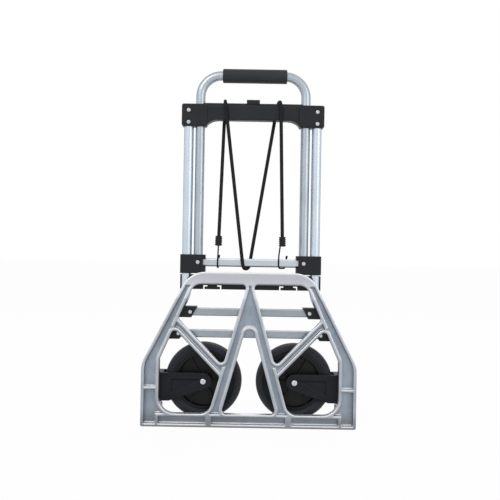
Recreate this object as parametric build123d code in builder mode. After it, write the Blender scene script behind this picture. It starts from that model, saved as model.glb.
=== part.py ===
from build123d import *
import os
from math import cos, pi, radians, sin, tan

os.makedirs("parts", exist_ok=True)

# Driving dimensions, in millimetres. X runs across the truck, -Y is its front, Z is up from the floor.
tube_d = 22.0  # side tube, outside
tube_wall = 1.5
handle_d = 21.0  # handle tube, outside
handle_wall = 1.5
frame_half = 146.5  # side tube from the middle, above its bends
tube_gap = 4.5  # between a side tube and the handle tube beside it
tube_bend_r = 50.0
bend_share = 0.27  # room kept for half a bend, as a share of its radius

handle_rise = 62.5  # handle tube's centre along the grip, above the upper crossbar
handle_bend_r = 48.0
grip_d = 32.0
grip_lap = 4.0  # grip's ends over the start of the handle's bends
grip_shift = 3.0  # grip's middle, to the right
grip_round = 2.5

crossbar_z = 681.2  # underside of the upper crossbar's end blocks
crossbar_end_h = 51.1
crossbar_arch = 15.3  # underside between the end blocks, above that
crossbar_mid_h = 40.0
crossbar_depth = 30.0
crossbar_mid_depth = 24.0
crossbar_wall = 5.0  # plastic beside and above the tubes
crossbar_flare = 24.0  # length of the curve from end block to middle
crossbar_edge = 3.0  # rounding of its lower and end edges
crossbar_corner = 5.0  # rounding of the end blocks' corners, seen from the front
block_lap = 1.0  # overlap of the curve with the bar above it

slider_h = 42.8
slider_depth = 29.0
slider_wall = 3.0
slider_lip = 5.5  # depth of the slot that takes the slider crossbar
slot_wall = 1.0  # plastic between that slot and the handle tube
slider_rest = 3.0  # sliders above the middle crossbar
bar_h = 19.0  # slider crossbar
bar_depth = 12.0
bar_round = 4.0
bar_rise = 16.0  # its underside above the sliders'
bar_wall = 1.5  # thickness of the slider crossbar and the rungs
slider_edge = 2.0

middle_h = 33.0  # middle crossbar
middle_depth = 18.0
middle_clamp_wall = 3.5
clip_half = 87.0  # clip tabs from the middle
clip_w = 42.0
clip_slot = 3.6
clip_rise = 9.0
clip_reach = 10.0

rung_h = 18.0
rung_depth = 10.0
rung_round = 2.0
upper_rung_share = 0.737  # height, as a share of the way from the tyres to the upper bends
lower_rung_share = 0.216
bracket_h = 25.0
bracket_wall = 2.0  # plastic outside the side tube
bracket_reach = 40.0  # from the tube's axis towards the middle

rivet_head_r = 4.5
rivet_head_h = 2.0
rivet_r = 2.5
crossbar_rivet_drops = (15.4, 42.4)  # below the top of the end blocks

button_w = 30.0
button_depth = 11.0
button_h = 20.0
button_proud = 8.0
button_travel = 5.0
button_edge = 1.5
spring_r = 4.0
spring_wall = 1.2
lock_bar_h = 10.0
lock_bar_t = 5.0
lock_bar_edge = 1.0
spring_floor = 3.5  # plastic under the button's spring

plate_h = 350.0
plate_overhang = 25.0  # plate beyond the side tubes' feet
plate_lap = 4.0  # plate's nose above the sliders' lower edges, folded
plate_side_h = 142.0  # height at which the sides start to slope
plate_nose_half = 137.0  # half width where the slopes reach the nose
plate_t = 16.0  # casting's depth
plate_web = 5.0
plate_rim = 7.0
plate_rail_h = 30.0  # heel rail
plate_nose_h = 28.0  # nose rail
plate_bar = 40.0  # side bars
plate_bar_lean = 10.0  # side bars' inside edge from the nose's corner, under the nose rail
plate_bar_lag = 8.0  # side bars' inner bend above the outer one
leg_top_half = 7.0  # outside edge of the middle legs under the nose rail
leg_foot_half = 90.0  # the same at the heel rail
leg_w = 28.0  # legs' width at the heel rail
arch_half = 9.0
arch_z = 220.5
strut_head_z = 233.0  # strut's middle line on the side bar
strut_foot_z = 126.0  # and on the leg
strut_w = 21.0
nose_r = 60.0  # plate's nose corners
side_r = 60.0  # plate's side corners
heel_r = 4.0
window_r = 25.0
window_heel_r = 36.0  # lower windows, beside the forks
nose_t = 7.0  # thickness of the plate's leading edge
nose_taper = 60.0
bar_wall_z = 86.5  # wall across each side bar's groove
rim_edge = 1.2  # rounding along the rims' front edges

wheel_r = 88.0
wheel_w = 34.0
wheel_lift = 12.0  # wheels above the heel, folded
wheel_mid_gap = 16.0  # tyres from the middle, folded
tyre_gap = 4.0  # tyre from the fork's crown
wheel_y = 13.0  # wheel's middle behind the side tubes' axis
tyre_h = 22.0  # tread to rim
tyre_crown = 6.0
bead_inset = 4.0  # bead behind the tyre's side
hub_r = 17.0
hub_w = 39.0
rim_web = 6.0
rim_ring = 7.0
rib_count = 6
rib_t = 4.0
rib_inset = 4.0
web_blend = 2.0
bush_r = 8.0
axle_r = 5.0
axle_head_r = 6.8
axle_head_h = 4.0
nut_h = 6.0

fork_rise = 23.0  # underside of the fork's crown above the hinge
fork_arm_rise = 11.8  # the same for the arms
fork_arm_t = 5.0
fork_end_r = 19.0
fork_sleeve_wall = 3.0
fork_sleeve_rise = 98.0  # top of the fork's sleeve above the hinge
fork_crown = 22.0  # crown's length from the swivel axis
fork_root = 36.0  # arms' full depth from the swivel axis
fork_recess = 3.0
fork_edge = 2.0
recess_margin = 8.0
collar_h = 6.0
collar_r = 14.0

hinge_pin_r = 4.0
knuckle_r = 11.0
knuckle_half = 12.0
knuckle_shank = 36.0
knuckle_lip = 0.7  # shoulder under the fork, beyond the side tube
ear_t = 7.0
ear_r = 11.0
ear_boss_r = 9.0
tooth_pitch = 20.0  # degrees
cone_in = 19.5  # inner and outer ends of the bevel teeth, from the point where the axes cross
cone_out = 28.0
tooth_top = 1.9
tooth_root = 2.4
tooth_half = 1.05
tooth_bed = 0.8  # depth of the tooth's foot in the gear's cone
tooth_slope = 20.0  # degrees

cord_d = 8.0
ferrule_r = 8.0
ferrule_len = 22.0
ferrule_round = 2.5
ferrule_floor = 6.0
ferrule_ribs = 4
ferrule_groove = 1.2
hook_r = 1.7
hook_cap_r = 2.4
hook_cap_len = 6.5
hook_root = 4.0  # hook's wire set into the ferrule
hook_rise = 8.0  # hook above the slider crossbar
cord_left = -65.0  # strands over the upper crossbar
cord_right = 62.5
cord_left_skew = 1.0  # strands' steps aside from behind the crossbar to its front
cord_right_skew = 6.0
cord_back_x = -67.0  # left strand behind the crossbar's lower edge
cord_under_front = -17.0  # strands under the slider crossbar
cord_under_back = -4.0
cord_bend_r = 60.0  # easy bend behind the crossbar's lower edge
ferrule_left = -73.5
ferrule_right = 71.0
ferrule_rise = 21.0  # ferrules above the sliders
ferrule_ahead = 5.0  # ferrules in front of the upper crossbar, when the handle is up

# Clearances
seat_gap = 0.02  # between pieces fixed together
running_gap = 0.05  # hinge pins and shafts in their bores
slide_gap = 0.3  # sliding pieces
free_gap = 0.5  # pieces that pass each other
cord_gap = 0.3  # cord and hooks around the bars they hold
cord_spread = 0.9  # cord's strands from the upper crossbar's faces, beyond that

# Worked out from the above
tube_r = tube_d / 2
handle_r = handle_d / 2
cord_r = cord_d / 2
handle_half = frame_half - tube_r - tube_gap - handle_r  # handle tube from the middle
wheel_half = wheel_mid_gap + wheel_r  # axle from the middle, folded
foot_half = wheel_half + wheel_r + tyre_gap + fork_crown  # side tube from the middle, at the forks
plate_half = foot_half + plate_overhang
plate_back = slider_depth / 2 + free_gap  # load face from the side tubes' axis
plate_front = plate_back + plate_t
hinge_z = wheel_lift + plate_front  # folded down, the plate is level with the wheels
crossbar_mid_z = crossbar_z + crossbar_arch
crossbar_top = crossbar_mid_z + crossbar_mid_h
crossbar_end_top = crossbar_z + crossbar_end_h
crossbar_half = frame_half + tube_r + crossbar_wall
handle_top_z = crossbar_top + handle_rise
grip_len = 2 * (handle_half - handle_bend_r + grip_lap - grip_shift)
slider_z = plate_h - plate_lap
slider_top = slider_z + slider_h
slider_inner = handle_half - handle_r - slot_wall - slider_lip
bar_z = slider_z + bar_rise
middle_z = slider_z - slider_rest - middle_h
middle_clamp_depth = slider_depth - 2 * free_gap
bracket_depth = slider_depth - 2 * rivet_head_h  # rivet heads clear the plate as the sliders do
fork_z = hinge_z + fork_rise
fork_arm_z = hinge_z + fork_arm_rise
fork_sleeve_z = hinge_z + fork_sleeve_rise
fork_gap = hub_w + 2 * free_gap
fork_bore = tube_r + running_gap
wheel_z = wheel_r + wheel_lift
upper_bend_z = middle_z - bend_share * tube_bend_r
lower_bend_z = fork_sleeve_z + slide_gap + collar_h + bend_share * tube_bend_r
lean = (foot_half - frame_half) / (lower_bend_z - upper_bend_z)  # side tube's x for each mm of z, on its slope
root_angle = radians(45) - tooth_root / ((cone_in + cone_out) / 2)
gear_face = cone_in * cos(root_angle)  # gear's small end from the crossing point, along its axis
gear_back = cone_out * cos(root_angle)
tube_foot = hinge_z + gear_face - slide_gap
rivet_hole = rivet_r + seat_gap


def tube_x(z):
    """Distance of the side tube's axis from the middle, on its slope."""
    return frame_half + lean * (z - upper_bend_z)


def meet(a, b, c, d):
    """Point where the line through a and b crosses the line through c and d."""
    run = (b[0] - a[0]) * (d[1] - c[1]) - (b[1] - a[1]) * (d[0] - c[0])
    along = ((c[0] - a[0]) * (d[1] - c[1]) - (c[1] - a[1]) * (d[0] - c[0])) / run
    return (a[0] + along * (b[0] - a[0]), a[1] + along * (b[1] - a[1]))


def shifted(a, b, by):
    """The line from a to b, moved sideways to its left by a distance."""
    step = (Vector(*b) - Vector(*a)).normalized() * by
    return [(p[0] - step.Y, p[1] + step.X) for p in (a, b)]


def panel(points, radii):
    """A closed flat outline with rounded corners."""
    with BuildSketch() as sketch:
        with BuildLine():
            FilletPolyline(*points, radius=radii, close=True)
        make_face()
    return sketch.sketch


pieces = {}

# Side tubes: upright, then sloping out to the forks, then upright again.
with BuildPart() as left_side_tube:
    with BuildLine() as side_route:
        FilletPolyline(
            (-frame_half, 0, crossbar_end_top - crossbar_wall),
            (-frame_half, 0, upper_bend_z),
            (-foot_half, 0, lower_bend_z),
            (-foot_half, 0, tube_foot),
            radius=tube_bend_r,
        )
    with BuildSketch(Plane(origin=side_route.line @ 0, z_dir=side_route.line % 0)):
        Circle(tube_r)
        Circle(tube_r - tube_wall, mode=Mode.SUBTRACT)
    sweep()
    for drop in crossbar_rivet_drops:
        with Locations((-frame_half, 0, crossbar_end_top - drop)):
            Cylinder(rivet_hole, 2 * tube_d, rotation=(90, 0, 0), mode=Mode.SUBTRACT)
pieces["left_side_tube"] = left_side_tube

# Handle: one tube bent into a U, with a grip along its top.
slider_socket_z = slider_z + slider_wall
slider_rivet_z = bar_z + bar_h / 2
with BuildPart() as handle_tube:
    with BuildLine() as handle_route:
        FilletPolyline(
            (-handle_half, 0, slider_socket_z),
            (-handle_half, 0, handle_top_z),
            (handle_half, 0, handle_top_z),
            (handle_half, 0, slider_socket_z),
            radius=handle_bend_r,
        )
    with BuildSketch(Plane(origin=handle_route.line @ 0, z_dir=handle_route.line % 0)):
        Circle(handle_r)
        Circle(handle_r - handle_wall, mode=Mode.SUBTRACT)
    sweep()
    with Locations((-handle_half, 0, slider_rivet_z), (handle_half, 0, slider_rivet_z)):
        Cylinder(rivet_hole, 2 * handle_d, rotation=(90, 0, 0), mode=Mode.SUBTRACT)
pieces["handle_tube"] = handle_tube

with BuildPart() as grip:
    with Locations((grip_shift, 0, handle_top_z)):
        Cylinder(grip_d / 2, grip_len, rotation=(0, 90, 0))
    fillet(grip.edges().filter_by(GeomType.CIRCLE), grip_round)
    with Locations((grip_shift, 0, handle_top_z)):
        Cylinder(handle_r + seat_gap, grip_len, rotation=(0, 90, 0), mode=Mode.SUBTRACT)
    with Locations((grip_shift - grip_len / 2, 0, handle_top_z), (grip_shift + grip_len / 2, 0, handle_top_z)):
        Cylinder(handle_r + slide_gap, 4 * grip_lap, rotation=(0, 90, 0), mode=Mode.SUBTRACT)
pieces["grip"] = grip

# Upper crossbar: two end blocks on the side tubes and a rounded bar between them.
block_inner = handle_half - handle_r - 2 * slide_gap
mid_reach = block_inner + crossbar_wall
crossbar_round = crossbar_mid_depth / 2 - 1
button_z = crossbar_top + button_proud - button_h
lock_bar_z = button_z - lock_bar_h
lock_bar_half = block_inner - 2 * free_gap
spring_z = crossbar_mid_z + spring_floor
block_middle = (crossbar_half + block_inner - crossbar_wall) / 2
with BuildPart() as end_block:
    with BuildSketch(Plane.XZ):
        with Locations((block_middle, crossbar_z + crossbar_end_h / 2)):
            RectangleRounded(2 * (crossbar_half - block_middle), crossbar_end_h, crossbar_corner)
    extrude(amount=crossbar_depth / 2, both=True)
    fillet(end_block.edges().group_by(Axis.Y)[0], crossbar_edge)
    fillet(end_block.edges().group_by(Axis.Y)[-1], crossbar_edge)
with BuildPart() as upper_crossbar:
    with BuildSketch(Plane.XZ):
        with Locations((0, crossbar_mid_z + crossbar_mid_h / 2)):
            Rectangle(2 * mid_reach, crossbar_mid_h)
    extrude(amount=crossbar_mid_depth / 2, both=True)
    top_edges = upper_crossbar.edges().filter_by(Axis.X).group_by(Axis.Z)[-1]
    fillet(top_edges, crossbar_round)
    fillet(upper_crossbar.edges().filter_by(Axis.X).group_by(Axis.Z)[0], crossbar_edge)
    add(end_block.part)
    mirror(end_block.part, about=Plane.YZ)
    flare_start = block_inner - crossbar_wall
    flare_end = flare_start - crossbar_flare
    flare_low = crossbar_z + crossbar_corner
    flare_top = crossbar_mid_z + block_lap + crossbar_edge
    with BuildSketch(Plane.XZ):
        for side in (-1, 1):
            with BuildLine():
                Polyline(
                    (side * flare_start, flare_low),
                    (side * flare_start, flare_top),
                    (side * flare_end, flare_top),
                    (side * flare_end, crossbar_mid_z),
                )
                TangentArc(
                    (side * flare_end, crossbar_mid_z),
                    (side * flare_start, flare_low),
                    tangent=(side, 0),
                )
            make_face()
    extrude(amount=crossbar_mid_depth / 2, both=True)
    for side in (-1, 1):
        with Locations((side * frame_half, 0, crossbar_end_top - crossbar_wall)):
            Cylinder(
                tube_r + seat_gap,
                crossbar_end_h,
                align=(Align.CENTER, Align.CENTER, Align.MAX),
                mode=Mode.SUBTRACT,
            )
        with Locations((side * handle_half, 0, crossbar_z)):
            Cylinder(handle_r + slide_gap, 3 * crossbar_end_h, mode=Mode.SUBTRACT)
        for drop in crossbar_rivet_drops:
            with Locations((side * frame_half, 0, crossbar_end_top - drop)):
                Cylinder(rivet_hole, 2 * crossbar_depth, rotation=(90, 0, 0), mode=Mode.SUBTRACT)
    with Locations((0, 0, button_z - button_travel - free_gap)):
        Box(
            button_w + 2 * slide_gap,
            button_depth + 2 * slide_gap,
            crossbar_mid_h,
            align=(Align.CENTER, Align.CENTER, Align.MIN),
            mode=Mode.SUBTRACT,
        )
    with Locations((0, 0, lock_bar_z - button_travel - free_gap)):
        Box(
            2 * (lock_bar_half + free_gap),
            lock_bar_t + 2 * slide_gap,
            lock_bar_h + button_travel + 2 * free_gap,
            align=(Align.CENTER, Align.CENTER, Align.MIN),
            mode=Mode.SUBTRACT,
        )
    with Locations((0, 0, spring_z)):
        Cylinder(
            spring_r + slide_gap,
            lock_bar_z - spring_z,
            align=(Align.CENTER, Align.CENTER, Align.MIN),
            mode=Mode.SUBTRACT,
        )
pieces["upper_crossbar"] = upper_crossbar

# Release button, its lock bar inside the crossbar and the spring under it.
with BuildPart() as release_button:
    with Locations((0, 0, button_z)):
        Box(button_w, button_depth, button_h, align=(Align.CENTER, Align.CENTER, Align.MIN))
    fillet(release_button.edges().group_by(Axis.Z)[-1], button_edge)
pieces["release_button"] = release_button

with BuildPart() as lock_bar:
    with Locations((0, 0, lock_bar_z)):
        Box(2 * lock_bar_half, lock_bar_t, lock_bar_h, align=(Align.CENTER, Align.CENTER, Align.MIN))
    chamfer(lock_bar.edges().filter_by(Axis.Y), lock_bar_edge)
pieces["lock_bar"] = lock_bar

with BuildPart() as button_spring:
    with BuildSketch(Plane.XY.offset(spring_z)):
        Circle(spring_r)
        Circle(spring_r - spring_wall, mode=Mode.SUBTRACT)
    extrude(amount=lock_bar_z - spring_z)
pieces["button_spring"] = button_spring

# Sliders: each is riveted to a leg of the handle, runs on a side tube and holds an end of the slider crossbar.
slider_outer = frame_half + tube_r + slider_wall
with BuildPart() as left_slider:
    with Locations((-(slider_outer + slider_inner) / 2, 0, slider_z)):
        Box(
            slider_outer - slider_inner,
            slider_depth,
            slider_h,
            align=(Align.CENTER, Align.CENTER, Align.MIN),
        )
    fillet(left_slider.edges().filter_by(Axis.Z), slider_edge)
    with Locations((-frame_half, 0, slider_z)):
        Cylinder(tube_r + slide_gap, 3 * slider_h, mode=Mode.SUBTRACT)
    with Locations((-handle_half, 0, slider_socket_z)):
        Cylinder(
            handle_r + seat_gap,
            slider_h,
            align=(Align.CENTER, Align.CENTER, Align.MIN),
            mode=Mode.SUBTRACT,
        )
    with Locations((-slider_inner, bar_depth / 2 + seat_gap, bar_z + bar_h / 2)):
        Box(
            2 * slider_lip,
            slider_depth,
            bar_h + 2 * seat_gap,
            align=(Align.CENTER, Align.MAX, Align.CENTER),
            mode=Mode.SUBTRACT,
        )
    with Locations((-handle_half, 0, slider_rivet_z)):
        Cylinder(rivet_hole, 2 * slider_depth, rotation=(90, 0, 0), mode=Mode.SUBTRACT)
pieces["left_slider"] = left_slider

with BuildPart() as slider_crossbar:
    with BuildSketch(Plane.YZ):
        with Locations((0, bar_z + bar_h / 2)):
            RectangleRounded(bar_depth, bar_h, bar_round)
            RectangleRounded(
                bar_depth - 2 * bar_wall,
                bar_h - 2 * bar_wall,
                bar_round - bar_wall,
                mode=Mode.SUBTRACT,
            )
    extrude(amount=slider_inner + slider_lip - seat_gap, both=True)
pieces["slider_crossbar"] = slider_crossbar

# Middle crossbar: half-round seats behind the side tubes, and two clip tabs in its lower edge.
clamp_half = tube_r + middle_clamp_wall
with BuildPart() as middle_crossbar:
    with BuildSketch(Plane.XZ):
        with Locations((0, middle_z + middle_h / 2)):
            Rectangle(2 * frame_half, middle_h)
    extrude(amount=middle_depth / 2, both=True)
    with Locations((-frame_half, 0, middle_z), (frame_half, 0, middle_z)):
        Box(
            2 * clamp_half,
            middle_clamp_depth / 2,
            middle_h,
            align=(Align.CENTER, Align.MIN, Align.MIN),
        )
    with Locations((-frame_half, 0, middle_z), (frame_half, 0, middle_z)):
        Cylinder(tube_r + seat_gap, 3 * middle_h, mode=Mode.SUBTRACT)
    with BuildSketch(Plane.XZ):
        for side in (-1, 1):
            for edge in (-1, 1):
                slot_x = side * clip_half + edge * (clip_w - clip_slot) / 2
                reach_x = side * clip_half + edge * (clip_w - clip_reach) / 2
                with Locations((slot_x, middle_z + clip_rise / 2)):
                    Rectangle(clip_slot, clip_rise)
                with Locations((reach_x, middle_z + clip_rise - clip_slot / 2)):
                    Rectangle(clip_reach, clip_slot)
    extrude(amount=middle_depth, both=True, mode=Mode.SUBTRACT)
pieces["middle_crossbar"] = middle_crossbar

# Rungs and the brackets that hold them on the sloping tubes.
rung_rivet_places = []
slope = (Vector(-foot_half, 0, lower_bend_z) - Vector(-frame_half, 0, upper_bend_z)).normalized()
tyre_top = wheel_z + wheel_r
for level, share in (("upper", upper_rung_share), ("lower", lower_rung_share)):
    rung_z = tyre_top + share * (upper_bend_z - bend_share * tube_bend_r - tyre_top)
    inner_x = tube_x(rung_z) - bracket_reach
    outer_x = tube_x(rung_z) + (tube_r + bracket_wall) / -slope.Z
    tilt = -lean * bracket_h / 2
    rung_end = tube_x(rung_z) - (tube_r + bracket_wall) / -slope.Z - tilt
    rivet_x = (rung_end + inner_x) / 2
    rung_rivet_places += [(-rivet_x, rung_z), (rivet_x, rung_z)]
    with BuildPart() as rung:
        with BuildSketch(Plane.YZ):
            with Locations((0, rung_z)):
                RectangleRounded(rung_depth, rung_h, rung_round)
                Rectangle(rung_depth - 2 * bar_wall, rung_h - 2 * bar_wall, mode=Mode.SUBTRACT)
        extrude(amount=rung_end, both=True)
        with Locations((-rivet_x, 0, rung_z), (rivet_x, 0, rung_z)):
            Cylinder(rivet_hole, 2 * rung_depth, rotation=(90, 0, 0), mode=Mode.SUBTRACT)
    pieces[f"{level}_rung"] = rung
    with BuildPart() as bracket:
        with BuildSketch(Plane.XZ):
            with BuildLine():
                Polyline(
                    (-inner_x + tilt, rung_z + bracket_h / 2),
                    (-inner_x - tilt, rung_z - bracket_h / 2),
                    (-outer_x - tilt, rung_z - bracket_h / 2),
                    (-outer_x + tilt, rung_z + bracket_h / 2),
                    close=True,
                )
            make_face()
        extrude(amount=bracket_depth / 2, both=True)
        with BuildSketch(Plane(origin=(-tube_x(rung_z), 0, rung_z), z_dir=slope)):
            Circle(tube_r + seat_gap)
        extrude(amount=2 * bracket_h, both=True, mode=Mode.SUBTRACT)
        with Locations((-rung_end - seat_gap, 0, rung_z)):
            Box(
                2 * bracket_reach,
                rung_depth + 2 * seat_gap,
                rung_h + 2 * seat_gap,
                align=(Align.MIN, Align.CENTER, Align.CENTER),
                mode=Mode.SUBTRACT,
            )
        with Locations((-rivet_x, 0, rung_z)):
            Cylinder(rivet_hole, 2 * bracket_depth, rotation=(90, 0, 0), mode=Mode.SUBTRACT)
    pieces[f"left_{level}_bracket"] = bracket
    with BuildPart() as right_bracket:
        mirror(bracket.part, about=Plane.YZ)
    pieces[f"right_{level}_bracket"] = right_bracket

# Toe plate, drawn for its right half in the plane of the plate: x from the middle, z from the heel.
nose_under = plate_h - plate_nose_h
bar_inside = [
    (plate_half - plate_bar, plate_side_h + plate_bar_lag),
    (plate_nose_half - plate_bar_lean, nose_under),
]
leg_outside = [(leg_foot_half, plate_rail_h), (leg_top_half, nose_under)]
strut_head = meet((0, strut_head_z), (1, strut_head_z), *bar_inside)
strut_foot = meet((0, strut_foot_z), (1, strut_foot_z), *leg_outside)
strut_over = shifted(strut_head, strut_foot, -strut_w / 2)
strut_under = shifted(strut_head, strut_foot, strut_w / 2)
over_head = meet(*strut_over, *bar_inside)
over_foot = meet(*strut_over, *leg_outside)
under_head = meet(*strut_under, *bar_inside)
under_foot = meet(*strut_under, *leg_outside)
outline = panel(
    [
        (-plate_half, 0),
        (plate_half, 0),
        (plate_half, plate_side_h),
        (plate_nose_half, plate_h),
        (-plate_nose_half, plate_h),
        (-plate_half, plate_side_h),
    ],
    [heel_r, heel_r, side_r, nose_r, nose_r, side_r],
)
upper_window = [leg_outside[1], bar_inside[1], over_head, over_foot]
lower_window = [
    under_foot,
    leg_outside[0],
    (plate_half - plate_bar, plate_rail_h),
    bar_inside[0],
    under_head,
]
arch_foot_half = leg_foot_half - leg_w
arch = [
    (-arch_foot_half, plate_rail_h),
    (arch_foot_half, plate_rail_h),
    (arch_half, arch_z),
    (-arch_half, arch_z),
]
small_r = window_r / 3
windows = [panel(arch, [small_r, small_r, 1.25 * arch_half, 1.25 * arch_half])]
for side in (-1, 1):
    windows.append(
        panel(
            [(side * x, z) for x, z in upper_window],
            [small_r, window_r, small_r, small_r],
        )
    )
    windows.append(
        panel(
            [(side * x, z) for x, z in lower_window],
            [small_r, window_r, window_heel_r, window_r, small_r],
        )
    )

# Walls that close the grooves between the plate's rims.
walls = []
for side in (-1, 1):
    for line, inward in (((over_foot, under_foot), -plate_rim), ((over_head, under_head), plate_rim)):
        inner = shifted(*line, inward)
        corners = [line[0], line[1], inner[1], inner[0]]
        walls.append(panel([(side * x, z) for x, z in corners], 0))
with BuildSketch() as rail_walls:
    with Locations((0, plate_rail_h - plate_rim / 2)):
        Rectangle(2 * (plate_half - plate_bar), plate_rim)
    for side in (-1, 1):
        with Locations((side * (plate_half - plate_bar / 2), bar_wall_z)):
            Rectangle(plate_bar, plate_rim)
        with Locations((side * (plate_half - plate_bar + plate_rim / 2), plate_rail_h / 2)):
            Rectangle(plate_rim, plate_rail_h)
        with Locations((side * leg_foot_half, plate_rail_h / 2)):
            Rectangle(2 * plate_rim, plate_rail_h)
    with Locations((0, plate_h - plate_nose_h / 2)):
        Rectangle(2 * plate_half, plate_nose_h + plate_rim)
walls.append(rail_walls.sketch)

with BuildPart() as plate_casting:
    with BuildSketch(Plane.XZ.offset(plate_back)):
        add(outline)
        for window in windows:
            add(window, mode=Mode.SUBTRACT)
    extrude(amount=plate_t)
    fillet(plate_casting.faces().sort_by(Axis.Y)[0].edges(), rim_edge)
    with BuildSketch(Plane.XZ.offset(plate_front)):
        offset(outline, amount=-plate_rim, mode=Mode.ADD)
        for window in windows:
            offset(window, amount=plate_rim, mode=Mode.SUBTRACT)
        for wall in walls:
            add(wall, mode=Mode.SUBTRACT)
    extrude(amount=plate_web - plate_t, mode=Mode.SUBTRACT)
    with BuildSketch(Plane.YZ):
        with BuildLine():
            Polyline(
                (-plate_front, plate_h - nose_taper),
                (-plate_back - nose_t, plate_h),
                (-plate_front, plate_h),
                close=True,
            )
        make_face()
    extrude(amount=plate_half, both=True, mode=Mode.SUBTRACT)


def bevel_gear(angles):
    """Part of a bevel gear about Z, its cone opening upwards from the origin, with a tooth at each angle."""
    with BuildPart() as gear:
        with BuildSketch(Plane.XZ):
            with BuildLine():
                Polyline(
                    (0, gear_face),
                    (cone_in * sin(root_angle), gear_face),
                    (cone_out * sin(root_angle), gear_back),
                    (0, gear_back),
                    close=True,
                )
            make_face()
        revolve(axis=Axis.Z)
        for angle in angles:
            turn = radians(angle)
            along = Vector(cos(turn) * sin(radians(45)), sin(turn) * sin(radians(45)), cos(radians(45)))
            for distance in (cone_in, cone_out):
                size = distance * 2 / (cone_in + cone_out)
                root_half = tooth_half + (tooth_root + tooth_bed) * tan(radians(tooth_slope))
                top_half = tooth_half - tooth_top * tan(radians(tooth_slope))
                across = Plane(
                    origin=along * distance, x_dir=(-sin(turn), cos(turn), 0), z_dir=along
                )
                with BuildSketch(across):
                    with BuildLine():
                        Polyline(
                            (-root_half * size, (tooth_root + tooth_bed) * size),
                            (root_half * size, (tooth_root + tooth_bed) * size),
                            (top_half * size, -tooth_top * size),
                            (-top_half * size, -tooth_top * size),
                            close=True,
                        )
                    make_face()
            loft(ruled=True)
    return gear.part


fork_gear = bevel_gear([90 - tooth_pitch / 2 + tooth_pitch * n for n in range(7)])
plate_gear = bevel_gear([-tooth_pitch / 2 + tooth_pitch * n for n in range(7)])
crossing = (-foot_half, 0, hinge_z)
left_plate_gear = Location(Plane(origin=crossing, x_dir=(0, 0, 1), z_dir=(-1, 0, 0))) * plate_gear
with BuildPart() as left_fork_gear:
    add(Location(crossing) * fork_gear)
    with Locations((-foot_half, free_gap - plate_back, hinge_z)):
        Box(
            4 * cone_out,
            cone_out,
            4 * cone_out,
            align=(Align.CENTER, Align.MAX, Align.CENTER),
            mode=Mode.SUBTRACT,
        )

# Hinge ears behind the plate's left heel corner. The inner one reaches down to the floor as a foot.
inner_ear_x = -foot_half + knuckle_half + slide_gap
ear_spans = ((inner_ear_x, ear_t), (-plate_half, plate_half - foot_half - gear_back))
with BuildPart() as left_ears:
    for ear_x, thickness in ear_spans:
        with BuildSketch(Plane.YZ.offset(ear_x)):
            with Locations((0, hinge_z)):
                Circle(ear_r)
            with Locations((-plate_back / 2, hinge_z)):
                Rectangle(plate_back, 2 * ear_r)
        extrude(amount=thickness)
    with BuildSketch(Plane.YZ.offset(inner_ear_x)):
        with Locations(((ear_r - plate_back) / 2, hinge_z / 2)):
            Rectangle(ear_r + plate_back, hinge_z)
    extrude(amount=ear_t)
    add(left_plate_gear)
    with BuildSketch(Plane.YZ.offset(-foot_half - gear_back)):
        with Locations((0, hinge_z)):
            Circle(ear_boss_r)
    extrude(amount=gear_back - knuckle_half - slide_gap)
    with BuildSketch(Plane.YZ.offset(-plate_half)):
        with Locations((0, hinge_z)):
            Circle(hinge_pin_r + seat_gap)
    extrude(amount=plate_half, mode=Mode.SUBTRACT)

with BuildPart() as toe_plate:
    add(plate_casting.part)
    add(left_ears.part)
    mirror(left_ears.part, about=Plane.YZ)
pieces["toe_plate"] = toe_plate

with BuildPart() as left_hinge_pin:
    with BuildSketch(Plane.YZ.offset(-plate_half)):
        with Locations((0, hinge_z)):
            Circle(hinge_pin_r)
    extrude(amount=plate_half + inner_ear_x + ear_t)
    with BuildSketch(Plane.YZ.offset(inner_ear_x + ear_t)):
        with Locations((0, hinge_z)):
            Circle(1.6 * hinge_pin_r)
    extrude(amount=hinge_pin_r / 2)
pieces["left_hinge_pin"] = left_hinge_pin

# Hinge knuckle: a plug in the side tube's foot with a barrel for the hinge pin.
with BuildPart() as left_knuckle:
    with Locations(crossing):
        Cylinder(knuckle_r, 2 * knuckle_half, rotation=(0, 90, 0))
    with Locations(crossing):
        Cylinder(
            tube_r + knuckle_lip,
            tube_foot - hinge_z,
            align=(Align.CENTER, Align.CENTER, Align.MIN),
        )
    with Locations((-foot_half, 0, tube_foot)):
        Cylinder(
            tube_r - tube_wall - seat_gap,
            knuckle_shank,
            align=(Align.CENTER, Align.CENTER, Align.MIN),
        )
    with Locations(crossing):
        Cylinder(hinge_pin_r + running_gap, 3 * knuckle_half, rotation=(0, 90, 0), mode=Mode.SUBTRACT)
pieces["left_knuckle"] = left_knuckle

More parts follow.
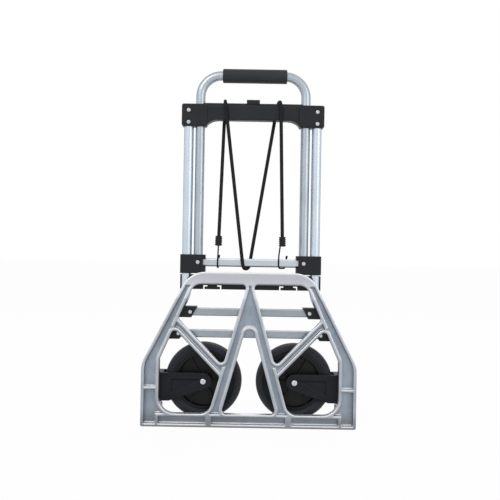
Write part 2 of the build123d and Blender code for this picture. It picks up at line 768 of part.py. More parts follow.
# Fork: a sleeve that swivels on the side tube's foot, and two arms that hold the wheel.
sleeve_r = fork_bore + fork_sleeve_wall
arm_top = wheel_z + fork_end_r
front_arm_y = wheel_y - fork_gap / 2 - fork_arm_t
rear_arm_y = wheel_y + fork_gap / 2
with BuildPart() as left_fork:
    for arm_y in (front_arm_y, rear_arm_y):
        with BuildSketch(Plane.XZ.offset(-arm_y)):
            with Locations((-wheel_half, wheel_z)):
                Circle(fork_end_r)
            with Locations((-foot_half + fork_root / 2, (fork_arm_z + arm_top) / 2)):
                Rectangle(fork_root, arm_top - fork_arm_z)
            make_hull()
        extrude(amount=-fork_arm_t)
    with Locations((-foot_half, front_arm_y, fork_z)):
        Box(
            fork_crown,
            rear_arm_y + fork_arm_t - front_arm_y,
            arm_top - fork_z,
            align=(Align.MIN, Align.MIN, Align.MIN),
        )
    fillet(left_fork.edges().filter_by(Axis.Z).group_by(Axis.X)[0], fork_edge)
    with BuildSketch(Plane.XZ.offset(-front_arm_y)):
        with BuildLine():
            Polyline(
                (-foot_half + fork_crown + 2.4 * recess_margin, wheel_z + recess_margin / 2),
                (-wheel_half - recess_margin, wheel_z + recess_margin / 2),
                (-foot_half + fork_crown + 2.4 * recess_margin, fork_z + 0.8 * recess_margin),
                close=True,
            )
        make_face()
    extrude(amount=-fork_recess, mode=Mode.SUBTRACT)
    with Locations((-foot_half, 0, hinge_z + gear_back)):
        Cylinder(
            sleeve_r,
            fork_sleeve_z - hinge_z - gear_back,
            align=(Align.CENTER, Align.CENTER, Align.MIN),
        )
    with Locations(crossing):
        Cylinder(
            tube_r + knuckle_lip + slide_gap,
            gear_face,
            align=(Align.CENTER, Align.CENTER, Align.MIN),
            mode=Mode.SUBTRACT,
        )
    add(left_fork_gear.part)
    with Locations((-foot_half, 0, hinge_z)):
        Cylinder(
            fork_bore,
            fork_sleeve_z,
            align=(Align.CENTER, Align.CENTER, Align.MIN),
            mode=Mode.SUBTRACT,
        )
    with Locations((-wheel_half, wheel_y, wheel_z)):
        Cylinder(axle_r + seat_gap, 2 * fork_gap, rotation=(90, 0, 0), mode=Mode.SUBTRACT)
pieces["left_fork"] = left_fork

with BuildPart() as left_collar:
    with BuildSketch(Plane.XY.offset(fork_sleeve_z + slide_gap)):
        with Locations((-foot_half, 0)):
            Circle(collar_r)
            Circle(tube_r + seat_gap, mode=Mode.SUBTRACT)
    extrude(amount=collar_h)
pieces["left_collar"] = left_collar

# Axle: a bolt through both arms and the wheel, with a nut behind.
bolt_end_y = rear_arm_y + fork_arm_t + nut_h
with BuildPart() as left_axle_bolt:
    with BuildSketch(Plane.XZ.offset(-front_arm_y)):
        with Locations((-wheel_half, wheel_z)):
            Circle(axle_r)
    extrude(amount=front_arm_y - bolt_end_y)
    with BuildSketch(Plane.XZ.offset(-front_arm_y)):
        with Locations((-wheel_half, wheel_z)):
            Circle(axle_head_r)
    extrude(amount=axle_head_h)
    fillet(left_axle_bolt.faces().sort_by(Axis.Y)[0].edges(), axle_head_h * 0.6)
    with BuildSketch(Plane.XZ.offset(-front_arm_y + axle_head_h)):
        with Locations((-wheel_half, wheel_z)):
            RegularPolygon(axle_head_r * 0.42, 6)
    extrude(amount=-axle_head_h / 2, mode=Mode.SUBTRACT)
pieces["left_axle_bolt"] = left_axle_bolt

with BuildPart() as left_axle_nut:
    with BuildSketch(Plane.XZ.offset(-rear_arm_y - fork_arm_t)):
        with Locations((-wheel_half, wheel_z)):
            RegularPolygon(axle_r * 1.7, 6)
            Circle(axle_r + seat_gap, mode=Mode.SUBTRACT)
    extrude(amount=-nut_h)
pieces["left_axle_nut"] = left_axle_nut

# Wheel: tyre, rim with ribs, and a bush that turns on the axle.
axle_line = Axis((-wheel_half, wheel_y, wheel_z), (0, 1, 0))
rim_r = wheel_r - tyre_h
bead_w = wheel_w - 2 * bead_inset
with BuildPart() as left_tyre:
    with BuildSketch(Plane.YZ.offset(-wheel_half)):
        with BuildLine():
            Polyline(
                (wheel_y - bead_w / 2, wheel_z + rim_r),
                (wheel_y - wheel_w / 2, wheel_z + rim_r + tyre_h / 3),
                (wheel_y - wheel_w / 2, wheel_z + wheel_r - tyre_crown),
            )
            ThreePointArc(
                (wheel_y - wheel_w / 2, wheel_z + wheel_r - tyre_crown),
                (wheel_y, wheel_z + wheel_r),
                (wheel_y + wheel_w / 2, wheel_z + wheel_r - tyre_crown),
            )
            Polyline(
                (wheel_y + wheel_w / 2, wheel_z + wheel_r - tyre_crown),
                (wheel_y + wheel_w / 2, wheel_z + rim_r + tyre_h / 3),
                (wheel_y + bead_w / 2, wheel_z + rim_r),
                (wheel_y - bead_w / 2, wheel_z + rim_r),
            )
        make_face()
    revolve(axis=axle_line)
pieces["left_tyre"] = left_tyre

rim_seat = rim_r - seat_gap
ring_r = rim_seat - rim_ring
rib_half_w = bead_w / 2 - rib_inset
with BuildPart() as left_rim:
    with BuildSketch(Plane.YZ.offset(-wheel_half)):
        with BuildLine():
            Polyline(
                (wheel_y - bead_w / 2, wheel_z + rim_seat),
                (wheel_y + bead_w / 2, wheel_z + rim_seat),
                (wheel_y + bead_w / 2, wheel_z + ring_r),
                (wheel_y + rim_web / 2, wheel_z + ring_r - web_blend),
                (wheel_y + rim_web / 2, wheel_z + hub_r + web_blend),
                (wheel_y + hub_w / 2, wheel_z + hub_r),
                (wheel_y + hub_w / 2, wheel_z + bush_r + seat_gap),
                (wheel_y - hub_w / 2, wheel_z + bush_r + seat_gap),
                (wheel_y - hub_w / 2, wheel_z + hub_r),
                (wheel_y - rim_web / 2, wheel_z + hub_r + web_blend),
                (wheel_y - rim_web / 2, wheel_z + ring_r - web_blend),
                (wheel_y - bead_w / 2, wheel_z + ring_r),
                close=True,
            )
        make_face()
    revolve(axis=axle_line)
    with BuildSketch(Plane.XZ.offset(-wheel_y)):
        with Locations((-wheel_half, wheel_z)):
            with PolarLocations((ring_r + hub_r) / 2, rib_count):
                Rectangle(ring_r - hub_r + web_blend, rib_t)
    extrude(amount=rib_half_w, both=True)
pieces["left_rim"] = left_rim

with BuildPart() as left_bush:
    with BuildSketch(Plane.XZ.offset(-wheel_y)):
        with Locations((-wheel_half, wheel_z)):
            Circle(bush_r)
            Circle(axle_r + running_gap, mode=Mode.SUBTRACT)
    extrude(amount=hub_w / 2, both=True)
pieces["left_bush"] = left_bush


def rivets(places, depth):
    """Dome-headed rivets through a piece of that depth, one at each (x, z)."""
    with BuildPart() as group:
        with BuildSketch(Plane.XZ.offset(depth / 2)):
            with Locations(*places):
                Circle(rivet_head_r)
        extrude(amount=rivet_head_h)
        fillet(group.edges().group_by(Axis.Y)[0], rivet_head_h * 0.8)
        with BuildSketch(Plane.XZ.offset(depth / 2)):
            with Locations(*places):
                Circle(rivet_r)
        extrude(amount=-depth)
        with BuildSketch(Plane.XZ.offset(-depth / 2)):
            with Locations(*places):
                Circle(1.5 * rivet_r)
        extrude(amount=-rivet_r / 2)
    return group


pieces["crossbar_rivets"] = rivets(
    [
        (side * frame_half, crossbar_end_top - drop)
        for side in (-1, 1)
        for drop in crossbar_rivet_drops
    ],
    crossbar_depth,
)
pieces["slider_rivets"] = rivets(
    [(-handle_half, slider_rivet_z), (handle_half, slider_rivet_z)], slider_depth
)
pieces["rung_rivets"] = rivets(rung_rivet_places, bracket_depth)

# Elastic cord: from the left hook up behind the upper crossbar, over it, down under the slider crossbar,
# up behind the upper crossbar again, over it and down to the right hook.
cord_side = crossbar_mid_depth / 2 + cord_gap + cord_r + cord_spread
cord_over = crossbar_top + cord_gap + cord_r
cord_wrap = bar_depth / 2 + cord_gap + cord_r
cord_under = bar_z - cord_gap - cord_r
ferrule_y = -crossbar_mid_depth / 2 - ferrule_r - ferrule_ahead
ferrule_z = slider_top + ferrule_rise
left_ferrule_at = Vector(ferrule_left, ferrule_y, ferrule_z)
right_ferrule_at = Vector(ferrule_right, ferrule_y, ferrule_z)
cord_turns = [
    Vector(cord_back_x, cord_side, crossbar_z),
    Vector(cord_left, cord_side, cord_over),
    Vector(cord_left + cord_left_skew, -cord_side, cord_over),
    Vector(cord_under_front, -cord_wrap, cord_under),
    Vector(cord_under_back, cord_wrap, cord_under),
    Vector(cord_right - cord_right_skew, cord_side, cord_over),
    Vector(cord_right, -cord_side, cord_over),
]
left_pull = (cord_turns[0] - left_ferrule_at).normalized()
right_pull = (cord_turns[-1] - right_ferrule_at).normalized()
cord_start = left_ferrule_at + left_pull * (ferrule_floor + slide_gap)
cord_end = right_ferrule_at + right_pull * (ferrule_floor + slide_gap)
over_r = crossbar_round + cord_gap + cord_r + cord_spread
wrap_r = bar_round + cord_gap + cord_r
cord_radii = [cord_bend_r, over_r, over_r, wrap_r, wrap_r, over_r, over_r]
with BuildPart() as elastic_cord:
    with BuildLine() as cord_route:
        FilletPolyline(cord_start, *cord_turns, cord_end, radius=cord_radii)
    with BuildSketch(Plane(origin=cord_route.line @ 0, z_dir=cord_route.line % 0)):
        Circle(cord_r)
    sweep()
pieces["elastic_cord"] = elastic_cord
cord_length = sum(run.length for run in cord_route.edges())
cord_section = pi * cord_r**2
print("cord radii", [round(r, 1) for r in cord_radii], "length", round(cord_length, 1))
cord_share = elastic_cord.part.volume / (cord_section * cord_length)
print("cord volume over section times length", round(cord_share, 4))

# Ferrules that grip the cord's ends, and the wire hooks set into them.
groove_pitch = (ferrule_len - ferrule_groove) / (ferrule_ribs + 0.5)
hook_y = bar_depth / 2 + cord_gap + hook_r
hook_z = bar_z - cord_gap - hook_r
hook_top = bar_z + bar_h + hook_rise
hook_bend_r = bar_round + cord_gap + hook_r
cord_ends = {
    "left": (left_ferrule_at, left_pull, (0.0, -1.5, -2.5, -0.5, 0.5)),
    "right": (right_ferrule_at, right_pull, (-4.5, -7.0, -7.5, 8.0, 12.0)),
}
for side, (at, pull, hook_xs) in cord_ends.items():
    with BuildPart() as ferrule:
        with BuildSketch(Plane(origin=at, z_dir=pull)):
            Circle(ferrule_r)
        extrude(amount=ferrule_len)
        fillet(ferrule.edges(), ferrule_round)
        for rib in range(ferrule_ribs):
            with BuildSketch(Plane(origin=at + pull * groove_pitch * (rib + 0.75), z_dir=pull)):
                Circle(2 * ferrule_r)
                Circle(ferrule_r - ferrule_groove, mode=Mode.SUBTRACT)
            extrude(amount=groove_pitch / 2, mode=Mode.SUBTRACT)
        with BuildSketch(Plane(origin=at + pull * ferrule_floor, z_dir=pull)):
            Circle(cord_r + slide_gap)
        extrude(amount=ferrule_len, mode=Mode.SUBTRACT)
    pieces[f"{side}_ferrule"] = ferrule
    with BuildPart() as hook:
        with BuildLine() as hook_route:
            FilletPolyline(
                at + pull * hook_root + Vector(hook_xs[0], 0, 0),
                (at.X + hook_xs[1], -hook_y, hook_top),
                (at.X + hook_xs[2], -hook_y, hook_z),
                (at.X + hook_xs[3], hook_y, hook_z),
                (at.X + hook_xs[4], hook_y, hook_top),
                radius=hook_bend_r,
            )
        with BuildSketch(Plane(origin=hook_route.line @ 0, z_dir=hook_route.line % 0)):
            Circle(hook_r)
        sweep()
        tip = Plane(origin=hook_route.line @ 1, z_dir=hook_route.line % 1)
        with Locations(tip):
            Cylinder(hook_cap_r, hook_cap_len, align=(Align.CENTER, Align.CENTER, Align.MAX))
        fillet(hook.faces().sort_by(Axis.Z)[-1].edges(), hook_cap_r / 2)
    pieces[f"{side}_hook"] = hook

# Right-hand pieces are mirror images of the left-hand ones.
paired = "side_tube slider hinge_pin knuckle fork collar axle_bolt axle_nut tyre rim bush"
for name in paired.split():
    with BuildPart() as twin:
        mirror(pieces[f"left_{name}"].part, about=Plane.YZ)
    pieces[f"right_{name}"] = twin

# The origin is on the floor, midway between the plate's front and the axle's end.
middle_y = (bolt_end_y - plate_front) / 2
for name, piece in pieces.items():
    placed = Pos(0, -middle_y, 0) * piece.part
    placed.label = name
    export_step(placed, f"parts/{name}.step")
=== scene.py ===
import math

import bmesh
import bpy
from mathutils import Matrix, Vector


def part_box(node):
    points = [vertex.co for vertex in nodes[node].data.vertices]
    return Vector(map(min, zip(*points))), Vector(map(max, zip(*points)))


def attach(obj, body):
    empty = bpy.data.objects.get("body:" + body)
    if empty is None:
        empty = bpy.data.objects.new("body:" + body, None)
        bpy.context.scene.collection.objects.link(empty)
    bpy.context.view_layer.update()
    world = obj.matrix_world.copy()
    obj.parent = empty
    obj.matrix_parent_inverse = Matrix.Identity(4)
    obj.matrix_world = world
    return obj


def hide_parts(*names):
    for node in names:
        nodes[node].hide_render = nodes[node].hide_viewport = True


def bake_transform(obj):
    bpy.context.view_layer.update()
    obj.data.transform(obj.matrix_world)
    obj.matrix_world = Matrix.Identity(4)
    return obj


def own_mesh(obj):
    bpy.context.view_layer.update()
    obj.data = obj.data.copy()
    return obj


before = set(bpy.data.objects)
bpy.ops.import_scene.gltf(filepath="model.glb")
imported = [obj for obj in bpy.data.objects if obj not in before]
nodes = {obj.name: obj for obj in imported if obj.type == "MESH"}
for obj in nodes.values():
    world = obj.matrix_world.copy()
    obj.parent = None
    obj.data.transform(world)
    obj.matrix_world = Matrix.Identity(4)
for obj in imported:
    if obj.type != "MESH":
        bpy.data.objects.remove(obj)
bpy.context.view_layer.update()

scene = bpy.context.scene

# Places and patterns in the row frame, in metres.
PLATE_FRONT = -0.0375
PLATE_FLOOR = -0.0265
WHEEL_X = 0.104
WHEEL_Z = 0.1
PLATE_RIM_BAND = 0.0005
# Height bands of the toe plate's nose and heel, where painted shade is laid on the casting.
NOSE_LOW, NOSE_HIGH = 0.315, 0.335
HEEL_LOW, HEEL_HIGH = 0.016, 0.04
TYRE_SIDE_R = 0.08
TYRE_TREAD_R = 0.083
TYRE_RING_PITCH = 0.0055
BRAID_STRANDS = 8
BRAID_TURNS_PER_M = 320
SPRING_BASE = 0.7
SPRING_TOP = 0.7145

# Materials


def node(tree, kind, inputs=None, **settings):
    """A shader node with its settings and inputs, given as values or as sockets to link."""
    made = tree.nodes.new(kind)
    for name, value in settings.items():
        setattr(made, name, value)
    for name, value in (inputs or {}).items():
        if isinstance(value, bpy.types.NodeSocket):
            tree.links.new(value, made.inputs[name])
        else:
            made.inputs[name].default_value = value
    return made


def math_node(tree, operation, a, b=0.0, clamp=False):
    return node(tree, "ShaderNodeMath", {0: a, 1: b}, operation=operation, use_clamp=clamp).outputs[0]


def blend_of(tree, a, share_a, b, share_b):
    """The sum of two values, each times its share."""
    scaled_a = math_node(tree, "MULTIPLY", a, share_a)
    scaled_b = math_node(tree, "MULTIPLY", b, share_b)
    return math_node(tree, "ADD", scaled_a, scaled_b)


def ramp(tree, value, low, high, start=0.0, end=1.0):
    """A colour from low to high as value goes from start to end."""
    made = node(tree, "ShaderNodeValToRGB", {"Fac": value})
    made.color_ramp.elements[0].position = start
    made.color_ramp.elements[1].position = end
    made.color_ramp.elements[0].color = (*low, 1)
    made.color_ramp.elements[1].color = (*high, 1)
    return made.outputs["Color"]


def spread(tree, value, low, high, start=0.0, end=1.0):
    """A number from low to high as value goes from start to end."""
    sockets = {"Value": value, "From Min": start, "From Max": end, "To Min": low, "To Max": high}
    return node(tree, "ShaderNodeMapRange", sockets).outputs["Result"]


def mix(tree, factor, a, b):
    made = node(tree, "ShaderNodeMix", data_type="RGBA")
    for index, value in ((0, factor), (6, a), (7, b)):
        if isinstance(value, bpy.types.NodeSocket):
            tree.links.new(value, made.inputs[index])
        elif index == 0:
            made.inputs[index].default_value = value
        else:
            made.inputs[index].default_value = (*value, 1)
    return made.outputs[2]


def noise(tree, coords, scale, detail=3.0, roughness=0.5, stretch=(1, 1, 1)):
    placed = node(tree, "ShaderNodeMapping", {"Vector": coords, "Scale": stretch}).outputs[0]
    sockets = {"Vector": placed, "Scale": scale, "Detail": detail, "Roughness": roughness}
    return node(tree, "ShaderNodeTexNoise", sockets).outputs["Fac"]


def bump(tree, height, distance, strength=1.0, edge=0.0):
    """A bumped normal, over edges softened by a radius where one is given."""
    sockets = {"Height": height, "Distance": distance, "Strength": strength}
    if edge:
        sockets["Normal"] = node(tree, "ShaderNodeBevel", {"Radius": edge}, samples=6).outputs[0]
    return node(tree, "ShaderNodeBump", sockets).outputs["Normal"]


def painted_edge_light(tree, colour, radius, painted_highlight, painted_edge_shade):
    """Colour with a painted highlight along edges that face up, and painted shade along edges that face
    down.
    """
    rounded = node(tree, "ShaderNodeBevel", {"Radius": radius}, samples=8).outputs[0]
    turned = node(
        tree,
        "ShaderNodeVectorTransform",
        {"Vector": rounded},
        vector_type="NORMAL",
        convert_to="OBJECT",
    )
    lean = node(tree, "ShaderNodeSeparateXYZ", {"Vector": turned.outputs[0]}).outputs["Z"]
    # Painted highlight where the rounded normal leans up, painted shade where it leans down.
    bright = mix(tree, spread(tree, lean, 0.0, 1.0, 0.04, 0.3), colour, painted_highlight)
    return mix(tree, spread(tree, lean, 0.8, 0.0, -0.35, -0.05), bright, painted_edge_shade)


def start(name, metallic=0.0, **values):
    """A new node material: its tree, its shader and its object coordinates."""
    made = bpy.data.materials.new(name)
    made.use_nodes = True
    tree = made.node_tree
    shader = tree.nodes["Principled BSDF"]
    shader.inputs["Metallic"].default_value = metallic
    for socket, value in values.items():
        shader.inputs[socket.replace("_", " ")].default_value = value
    coords = node(tree, "ShaderNodeTexCoord").outputs["Object"]
    return made, tree, shader, coords


def connect(tree, shader, colour=None, roughness=None, normal=None):
    for name, value in (("Base Color", colour), ("Roughness", roughness), ("Normal", normal)):
        if value is not None:
            tree.links.new(value, shader.inputs[name])


def drawn_metal(name, low, high, stretch, rough=(0.3, 0.42), edges=None):
    """Anodised tube or bar with fine drawing lines along it and, where given, a painted highlight along
    edges that face up and painted shade along edges that face down.
    """
    made, tree, shader, coords = start(name, metallic=0.92, Specular_Tint=(0.25, 0.27, 0.3, 1))
    lines = noise(tree, coords, 900.0, 2.0, 0.6, stretch)
    cloud = noise(tree, coords, 14.0, 4.0)
    tone = blend_of(tree, lines, 0.5, cloud, 0.5)
    colour = ramp(tree, tone, low, high, 0.35, 0.65)
    connect(
        tree,
        shader,
        painted_edge_light(tree, colour, 0.0025, *edges) if edges else colour,
        spread(tree, tone, rough[1], rough[0], 0.3, 0.7),
        bump(tree, lines, 0.00004, 0.6),
    )
    return made


def moulded(name, low, high, rough=(0.38, 0.52), grain=1400.0, depth=0.00006, edges=None, **values):
    """Moulded plastic or rubber with a fine grain, an uneven tone and, where given, a painted highlight
    along edges that face up and painted shade along edges that face down.
    """
    made, tree, shader, coords = start(name, **values)
    fine = noise(tree, coords, grain, 2.0, 0.6)
    cloud = noise(tree, coords, 22.0, 5.0, 0.6)
    colour = ramp(tree, cloud, low, high, 0.3, 0.72)
    connect(
        tree,
        shader,
        painted_edge_light(tree, colour, 0.004, *edges) if edges else colour,
        spread(tree, cloud, rough[0], rough[1], 0.3, 0.7),
        bump(tree, fine, depth, 0.7, 0.0012),
    )
    return made


def casting(name):
    """Cast aluminium: bright rims, darker speckled grooves between them, with painted shade on the heel,
    towards the bottom and on the nose, and a painted highlight and painted shade along edges.
    """
    made, tree, shader, coords = start(name, metallic=0.8, Specular_Tint=(0.5, 0.52, 0.55, 1))
    split = node(tree, "ShaderNodeSeparateXYZ", {"Vector": coords})
    face = spread(tree, split.outputs["Y"], 1.0, 0.0, PLATE_FRONT + PLATE_RIM_BAND, PLATE_FLOOR)
    speckle = noise(tree, coords, 420.0, 4.0, 0.7)
    cloud = noise(tree, coords, 16.0, 5.0, 0.62)
    drawn = noise(tree, coords, 60.0, 3.0, 0.6, (1.0, 1.0, 0.25))
    tone = blend_of(tree, cloud, 0.65, drawn, 0.35)
    groove = mix(
        tree,
        spread(tree, speckle, 0.0, 1.0, 0.36, 0.66),
        ramp(tree, tone, (0.23, 0.275, 0.325), (0.36, 0.415, 0.48), 0.35, 0.65),
        ramp(tree, tone, (0.32, 0.375, 0.44), (0.47, 0.54, 0.62), 0.35, 0.65),
    )
    rim = ramp(tree, tone, (0.4, 0.43, 0.48), (0.62, 0.66, 0.72), 0.35, 0.68)
    # Painted shade: a strong band on the heel, the plate darker towards the bottom, and the nose (top
    # rail) darkened to temper its bright reflection; all mixed towards a dark grey.
    painted_heel_shade = spread(tree, split.outputs["Z"], 0.5, 0.0, HEEL_LOW, HEEL_HIGH)
    painted_nose_shade = spread(tree, split.outputs["Z"], 0.0, 0.75, NOSE_LOW, NOSE_HIGH)
    painted_low_shade = math_node(tree, "ADD", painted_heel_shade, spread(tree, split.outputs["Z"], 0.2, 0.0, 0.0, 0.3))
    painted_plate_shade = math_node(tree, "ADD", painted_low_shade, painted_nose_shade)
    shaded_tone = mix(tree, painted_plate_shade, mix(tree, face, groove, rim), (0.16, 0.17, 0.18))
    # Painted highlight along the plate's edges that face up, painted shade along those that face down.
    edge_lit_tone = painted_edge_light(tree, shaded_tone, 0.006, (0.86, 0.87, 0.9), (0.15, 0.16, 0.18))
    grain = spread(tree, face, 0.9, 0.25)
    connect(
        tree,
        shader,
        edge_lit_tone,
        spread(tree, face, 0.46, 0.3),
        bump(tree, math_node(tree, "MULTIPLY", speckle, grain), 0.00025, 0.6, 0.002),
    )
    return made


def tyre_rubber(name):
    """Rubber with moulded rings on its sides and dust where it rolls."""
    made, tree, shader, coords = start(name, Specular_IOR_Level=0.3)
    split = node(tree, "ShaderNodeSeparateXYZ", {"Vector": coords})
    across = math_node(tree, "SUBTRACT", math_node(tree, "ABSOLUTE", split.outputs["X"]), WHEEL_X)
    up = math_node(tree, "SUBTRACT", split.outputs["Z"], WHEEL_Z)
    across_squared = math_node(tree, "POWER", across, 2.0)
    up_squared = math_node(tree, "POWER", up, 2.0)
    radius = math_node(tree, "SQRT", math_node(tree, "ADD", across_squared, up_squared))
    rings = math_node(tree, "SINE", math_node(tree, "MULTIPLY", radius, 2 * math.pi / TYRE_RING_PITCH))
    side = math_node(tree, "MULTIPLY", rings, spread(tree, radius, 1.0, 0.0, TYRE_SIDE_R, TYRE_TREAD_R))
    fine = noise(tree, coords, 900.0, 3.0, 0.6)
    cloud = noise(tree, coords, 30.0, 5.0, 0.65)
    dust = math_node(tree, "MULTIPLY", cloud, spread(tree, radius, 0.35, 1.0, 0.078, 0.087))
    height = blend_of(tree, side, 0.5, fine, 0.25)
    connect(
        tree,
        shader,
        ramp(tree, dust, (0.018, 0.02, 0.026), (0.054, 0.058, 0.072), 0.15, 0.75),
        spread(tree, cloud, 0.55, 0.75, 0.3, 0.7),
        bump(tree, height, 0.0003, 0.6),
    )
    return made


def plated(name, low, high, rough=(0.18, 0.34)):
    """Bright plated fastener with fine scratches."""
    made, tree, shader, coords = start(name, metallic=1.0)
    scratch = noise(tree, coords, 700.0, 3.0, 0.7, (1.0, 1.0, 0.2))
    connect(
        tree,
        shader,
        ramp(tree, scratch, low, high, 0.35, 0.65),
        spread(tree, scratch, rough[1], rough[0], 0.3, 0.7),
        bump(tree, scratch, 0.00003, 0.5),
    )
    return made


def braid(name):
    """Woven sleeve of an elastic cord: two sets of strands crossing along the tube."""
    made, tree, shader, _ = start(name, Specular_IOR_Level=0.22)
    woven = node(tree, "ShaderNodeUVMap", uv_map="UVMap").outputs[0]
    split = node(tree, "ShaderNodeSeparateXYZ", {"Vector": woven})
    around = math_node(tree, "MULTIPLY", split.outputs["X"], 2 * math.pi * BRAID_STRANDS)
    along = math_node(tree, "MULTIPLY", split.outputs["Y"], 2 * math.pi * BRAID_TURNS_PER_M)
    one = math_node(tree, "SINE", math_node(tree, "ADD", around, along))
    two = math_node(tree, "SINE", math_node(tree, "SUBTRACT", around, along))
    weave = spread(tree, math_node(tree, "MULTIPLY", one, two), 0.0, 1.0, -1.0, 1.0)
    connect(
        tree,
        shader,
        ramp(tree, weave, (0.004, 0.004, 0.005), (0.014, 0.014, 0.016)),
        spread(tree, weave, 0.75, 0.55),
        bump(tree, weave, 0.0003, 0.7),
    )
    return made


TUBE = drawn_metal("anodised_tube", (0.55, 0.62, 0.7), (0.66, 0.74, 0.82), (1, 1, 0.012))
HANDLE = drawn_metal("anodised_handle", (0.4, 0.45, 0.5), (0.5, 0.55, 0.6), (1, 1, 0.012))
# The slider bar's edges carry a painted highlight where they face up and painted shade where they face
# down.
BAR = drawn_metal(
    "anodised_bar",
    (0.5, 0.55, 0.6),
    (0.6, 0.65, 0.7),
    (0.012, 1, 1),
    edges=((0.72, 0.76, 0.8), (0.3, 0.33, 0.36)),
)
# Rungs: the bar's aluminium darkened as painted shade, with a painted highlight and painted shade on their
# edges.
SHADED_RUNG = drawn_metal(
    "shaded_rung_aluminium",
    (0.29, 0.33, 0.37),
    (0.38, 0.42, 0.46),
    (0.012, 1, 1),
    edges=((0.62, 0.66, 0.7), (0.16, 0.18, 0.2)),
)
CAST = casting("cast_plate")
BLACK = moulded("black_moulding", (0.006, 0.0075, 0.01), (0.012, 0.014, 0.018), Specular_IOR_Level=0.3)
# The fork's edges carry a painted highlight where they face up and painted shade where they face down.
FORK = moulded(
    "fork_moulding",
    (0.009, 0.0106, 0.0138),
    (0.017, 0.0196, 0.0242),
    (0.4, 0.55),
    edges=((0.02, 0.022, 0.026), (0.002, 0.002, 0.003)),
    Specular_IOR_Level=0.16,
)
RIM = moulded(
    "rim_moulding",
    (0.003, 0.003, 0.0035),
    (0.007, 0.007, 0.008),
    (0.34, 0.48),
    Specular_IOR_Level=0.22,
)
GRIP = moulded(
    "grip_foam",
    (0.012, 0.0145, 0.017),
    (0.024, 0.028, 0.033),
    (0.45, 0.6),
    grain=520.0,
    depth=0.00022,
    Specular_IOR_Level=0.35,
)
RUBBER = moulded(
    "ferrule_rubber",
    (0.006, 0.006, 0.007),
    (0.013, 0.013, 0.015),
    (0.45, 0.6),
    Specular_IOR_Level=0.3,
)
TYRE = tyre_rubber("tyre_rubber")
STEEL = plated("plated_steel", (0.5, 0.51, 0.53), (0.68, 0.69, 0.71))
RIVET = plated("bright_rivet", (0.45, 0.46, 0.48), (0.62, 0.63, 0.65))
WIRE = plated("black_wire", (0.008, 0.008, 0.01), (0.02, 0.02, 0.023), (0.35, 0.5))
BRAID = braid("cord_braid")

finishes = {
    TUBE: "left_side_tube right_side_tube",
    HANDLE: "handle_tube",
    BAR: "slider_crossbar",
    SHADED_RUNG: "upper_rung lower_rung",
    CAST: "toe_plate",
    BLACK: "upper_crossbar middle_crossbar left_slider right_slider "
    "left_upper_bracket right_upper_bracket left_lower_bracket right_lower_bracket "
    "release_button left_collar right_collar left_knuckle right_knuckle",
    FORK: "left_fork right_fork",
    RIM: "left_rim right_rim left_bush right_bush",
    GRIP: "grip",
    RUBBER: "left_ferrule right_ferrule",
    TYRE: "left_tyre right_tyre",
    STEEL: "lock_bar button_spring left_hinge_pin right_hinge_pin left_axle_bolt right_axle_bolt "
    "left_axle_nut right_axle_nut",
    RIVET: "crossbar_rivets rung_rivets slider_rivets",
    WIRE: "left_hook right_hook",
}
for finish, names in finishes.items():
    for name in names.split():
        nodes[name].data.materials.clear()
        nodes[name].data.materials.append(finish)

# Elastic cord


def tube_along(name, points, radius, sides, material):
    """A closed mesh tube that follows points, with its own UV map: around, and along in metres."""
    mesh = bpy.data.meshes.new(name)
    made = bpy.data.objects.new(name, mesh)
    scene.collection.objects.link(made)
    shape = bmesh.new()
    uv = shape.loops.layers.uv.new("UVMap")
    rings = []
    travelled = [0.0]
    for a, b in zip(points, points[1:]):
        travelled.append(travelled[-1] + (b - a).length)
    side = None
    for index, point in enumerate(points):
        ahead = points[min(index + 1, len(points) - 1)]
        behind = points[max(index - 1, 0)]
        along = (ahead - behind).normalized()
        if side is None:
            side = along.orthogonal().normalized()
        side = (side - along * side.dot(along)).normalized()
        other = along.cross(side)
        ring = []
        for k in range(sides):
            turn = 2 * math.pi * k / sides
            ring.append(shape.verts.new(point + radius * (side * math.cos(turn) + other * math.sin(turn))))
        rings.append(ring)
    for index, (near, far) in enumerate(zip(rings, rings[1:])):
        for k in range(sides):
            n = (k + 1) % sides
            face = shape.faces.new((near[k], near[n], far[n], far[k]))
            face.smooth = True
            corners = ((k, index), (k + 1, index), (k + 1, index + 1), (k, index + 1))
            for loop, (u, v) in zip(face.loops, corners):
                loop[uv].uv = (u / sides, travelled[v])
    shape.faces.new(list(reversed(rings[0])))
    shape.faces.new(rings[-1])
    bmesh.ops.recalc_face_normals(shape, faces=shape.faces)
    shape.to_mesh(mesh)
    shape.free()
    mesh.materials.append(material)
    return made


def spline_points(name, control, resolution):
    """Points read from a NURBS spline with these control points."""
    curve = bpy.data.curves.new(name, "CURVE")
    curve.dimensions = "3D"
    spline = curve.splines.new("NURBS")
    spline.points.add(len(control) - 1)
    for point, place in zip(spline.points, control):
        point.co = (*place, 1)
    spline.order_u = 3
    spline.use_endpoint_u = True
    spline.resolution_u = resolution
    made = bpy.data.objects.new(name, curve)
    scene.collection.objects.link(made)
    bpy.context.view_layer.update()
    mesh = bpy.data.meshes.new_from_object(made)
    points = [vertex.co.copy() for vertex in mesh.vertices]
    bpy.data.objects.remove(made)
    bpy.data.curves.remove(curve)
    bpy.data.meshes.remove(mesh)
    return points


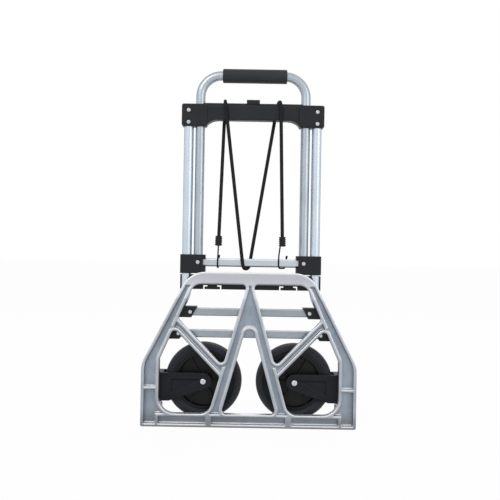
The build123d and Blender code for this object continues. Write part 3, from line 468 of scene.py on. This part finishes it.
CORD_R = 0.004
CORD_SIDES = 14
CORD_RESOLUTION = 24
cord_route = [
    (-0.07335, -0.03053, 0.41602),
    (-0.067, 0.0107, 0.6812),
    (-0.06633, 0.0107, 0.70119),
    (-0.065, 0.0107, 0.7408),
    (-0.064, -0.0237, 0.7408),
    (-0.05974, -0.02307, 0.70607),
    (-0.01992, -0.01723, 0.38152),
    (-0.017, -0.0168, 0.3577),
    (-0.004, 0.0038, 0.3577),
    (-0.00026, 0.00423, 0.3814),
    (0.05104, 0.01008, 0.70623),
    (0.0565, 0.0107, 0.7408),
    (0.0625, -0.0237, 0.7408),
    (0.0634, -0.02452, 0.70582),
    (0.07084, -0.03135, 0.4161),
]
cord_line = spline_points("cord_line", cord_route, CORD_RESOLUTION)
cord = tube_along("cord", cord_line, CORD_R, CORD_SIDES, BRAID)
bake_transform(cord)
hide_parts("elastic_cord")

# Coil spring under the release button
SPRING_R = 0.0032
SPRING_WIRE = 0.0005
SPRING_TURNS = 6
STEPS_PER_TURN = 24
SPRING_SIDES = 8
spring_low, spring_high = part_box("button_spring")
spring_middle = (spring_low + spring_high) / 2
spring_rise = SPRING_TOP - SPRING_BASE - 2 * SPRING_WIRE
steps = SPRING_TURNS * STEPS_PER_TURN
coil = []
for step in range(steps + 1):
    angle = 2 * math.pi * step * SPRING_TURNS / steps
    across = spring_middle.x + SPRING_R * math.cos(angle)
    deep = spring_middle.y + SPRING_R * math.sin(angle)
    height = SPRING_BASE + SPRING_WIRE + spring_rise * step / steps
    coil.append(Vector((across, deep, height)))
spring = tube_along("button_coil", coil, SPRING_WIRE, SPRING_SIDES, STEEL)
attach(spring, "frame")
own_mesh(spring)
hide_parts("button_spring")

# Floor, light and camera


def white_where_seen(tree, shader_socket, strength):
    """Shader that is white to the camera and in reflections, and shader_socket otherwise."""
    path = node(tree, "ShaderNodeLightPath")
    seen = math_node(tree, "MAXIMUM", path.outputs["Is Camera Ray"], path.outputs["Is Glossy Ray"])
    seen = math_node(tree, "MAXIMUM", seen, path.outputs["Is Transmission Ray"])
    kind = "ShaderNodeEmission" if strength < 1 else "ShaderNodeBackground"
    white = node(tree, kind, {"Color": (1, 1, 1, 1)})
    factor = math_node(tree, "MULTIPLY", seen, strength)
    return node(tree, "ShaderNodeMixShader", {0: factor, 1: shader_socket, 2: white.outputs[0]}).outputs[0]


world = bpy.data.worlds.new("studio")
scene.world = world
world.use_nodes = True
backdrop = world.node_tree.nodes["Background"]
backdrop.inputs["Color"].default_value = (0.95, 0.97, 1.0, 1)
backdrop.inputs["Strength"].default_value = 0.5
output = world.node_tree.nodes["World Output"]
studio_white = white_where_seen(world.node_tree, backdrop.outputs[0], 1.0)
world.node_tree.links.new(studio_white, output.inputs["Surface"])

FLOOR_SIZE = 40
FLOOR_WHITENESS = 0.97
bpy.ops.mesh.primitive_plane_add(size=FLOOR_SIZE, location=(0, 0, 0))
floor = bpy.context.object
floor.name = "floor"
pale = bpy.data.materials.new("pale_floor")
pale.use_nodes = True
pale_tree = pale.node_tree
pale_shader = pale_tree.nodes["Principled BSDF"]
pale_shader.inputs["Roughness"].default_value = 0.9
pale_grain = noise(pale_tree, node(pale_tree, "ShaderNodeTexCoord").outputs["Object"], 3.0)
connect(pale_tree, pale_shader, ramp(pale_tree, pale_grain, (0.9, 0.9, 0.9), (0.93, 0.93, 0.93)))
pale_output = pale_tree.nodes["Material Output"]
floor_white = white_where_seen(pale_tree, pale_shader.outputs[0], FLOOR_WHITENESS)
pale_tree.links.new(floor_white, pale_output.inputs["Surface"])
floor.data.materials.append(pale)


def softbox(name, place, aim, size, power):
    lamp = bpy.data.lights.new(name, "AREA")
    lamp.shape = "RECTANGLE"
    lamp.size, lamp.size_y = size
    lamp.energy = power
    made = bpy.data.objects.new(name, lamp)
    scene.collection.objects.link(made)
    made.location = place
    made.rotation_euler = (Vector(aim) - Vector(place)).to_track_quat("-Z", "Y").to_euler()


LIT_POINT = (0, 0, 0.4)
softbox("key", (-1.3, -2.2, 2.4), LIT_POINT, (1.6, 1.2), 21)
softbox("fill", (1.8, -1.6, 1.2), LIT_POINT, (1.2, 1.6), 9)
softbox("back", (0.4, 2.2, 2.0), LIT_POINT, (1.6, 1.0), 12)

CAMERA_AT = (-0.002, -1.6375, 0.401)
CAMERA_ROLL = 0.97
SENSOR_MM = 36
LENS_MM = 51.2
lens = bpy.data.cameras.new("camera")
lens.sensor_width = SENSOR_MM
lens.lens = LENS_MM
camera = bpy.data.objects.new("camera", lens)
scene.collection.objects.link(camera)
camera.matrix_world = (
    Matrix.Translation(CAMERA_AT)
    @ Matrix.Rotation(math.radians(90), 4, "X")
    @ Matrix.Rotation(math.radians(CAMERA_ROLL), 4, "Z")
)
scene.camera = camera
scene.view_settings.view_transform = "Standard"
